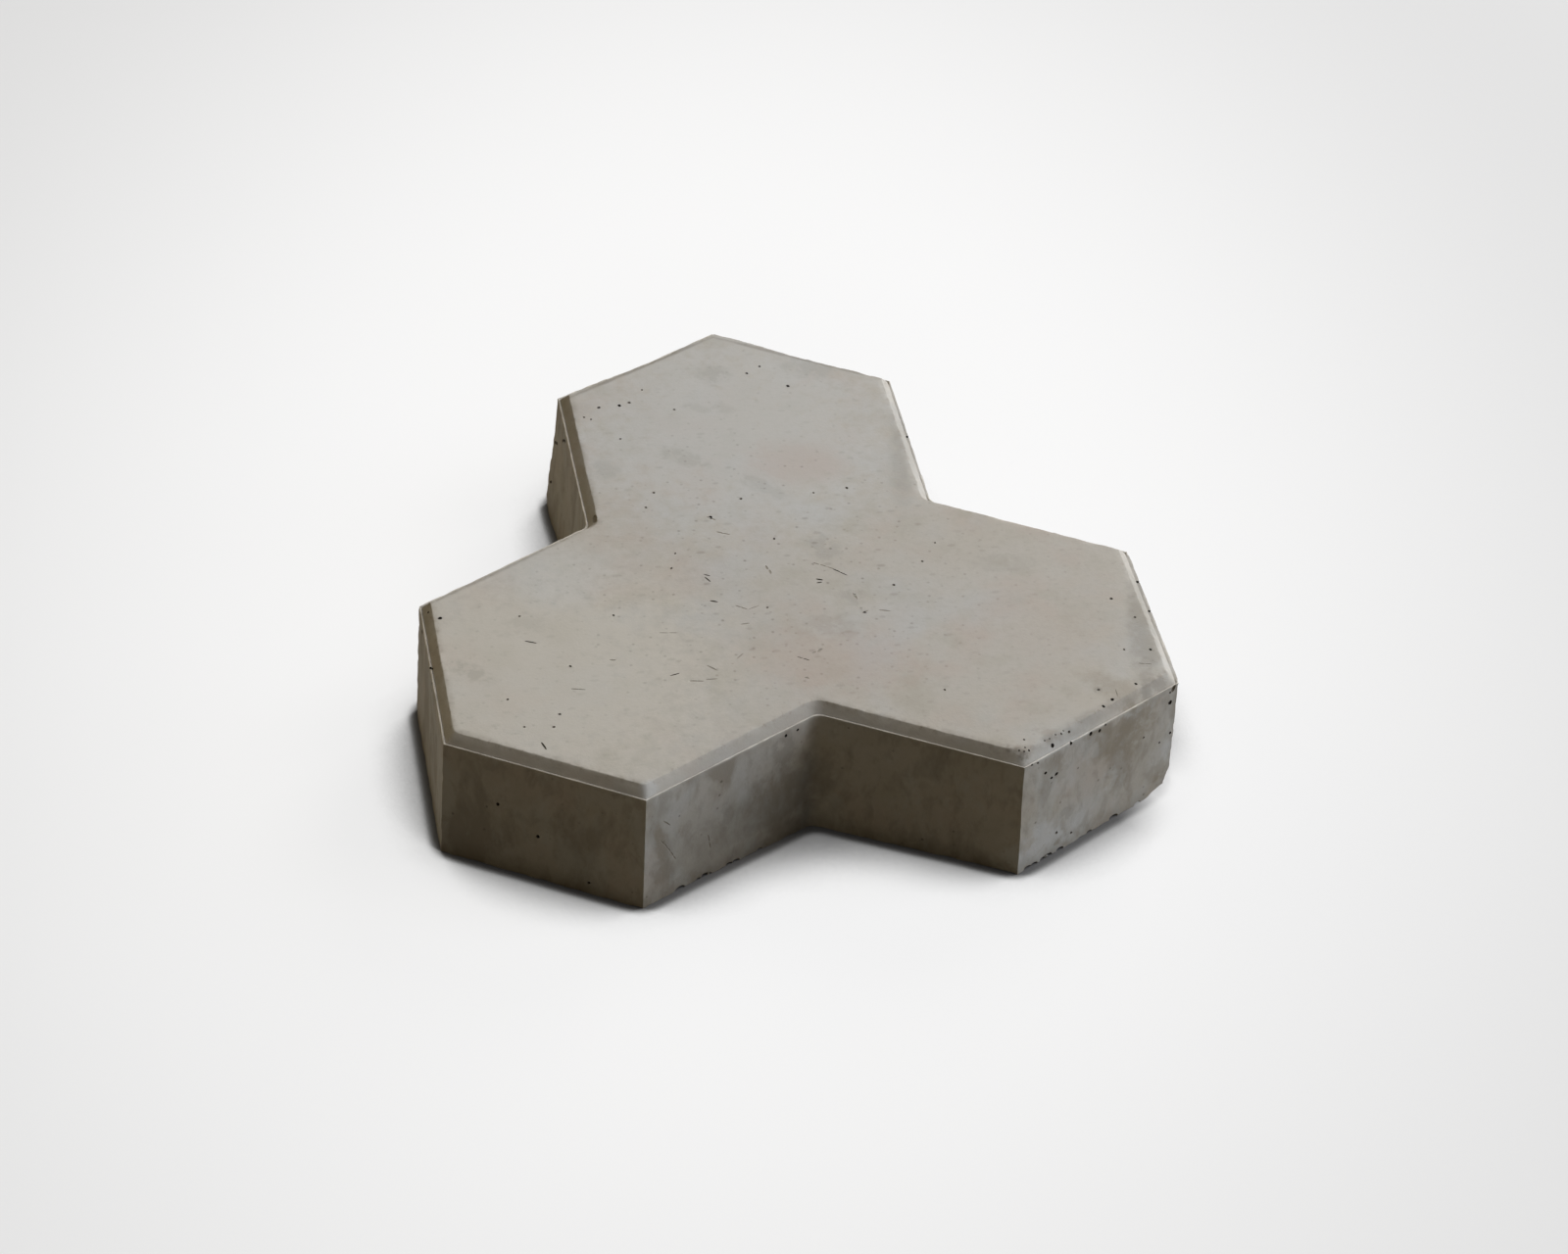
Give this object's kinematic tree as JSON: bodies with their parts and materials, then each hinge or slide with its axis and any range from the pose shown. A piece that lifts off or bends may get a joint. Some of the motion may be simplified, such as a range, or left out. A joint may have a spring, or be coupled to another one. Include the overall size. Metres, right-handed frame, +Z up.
{
  "type": "concrete paving stone",
  "caption": "Flat concrete paving stone in the outline of joined hexagons, with chamfered upper edges and vee notches that interlock with like stones when a path or yard is laid.",
  "frame": {"origin": "centre of the bed face, on the upright axis where the hexagons share a corner", "axes": "+Z up from the bed to the wearing face, +Y from the centre along one hexagon to its outer corner, +X to the right"},
  "size_m": [0.3, 0.3031, 0.06],
  "materials": {
    "concrete": "matte"
  },
  "bodies": {
    "root": {"paving_stone": "concrete"}
  },
  "joints": []
}
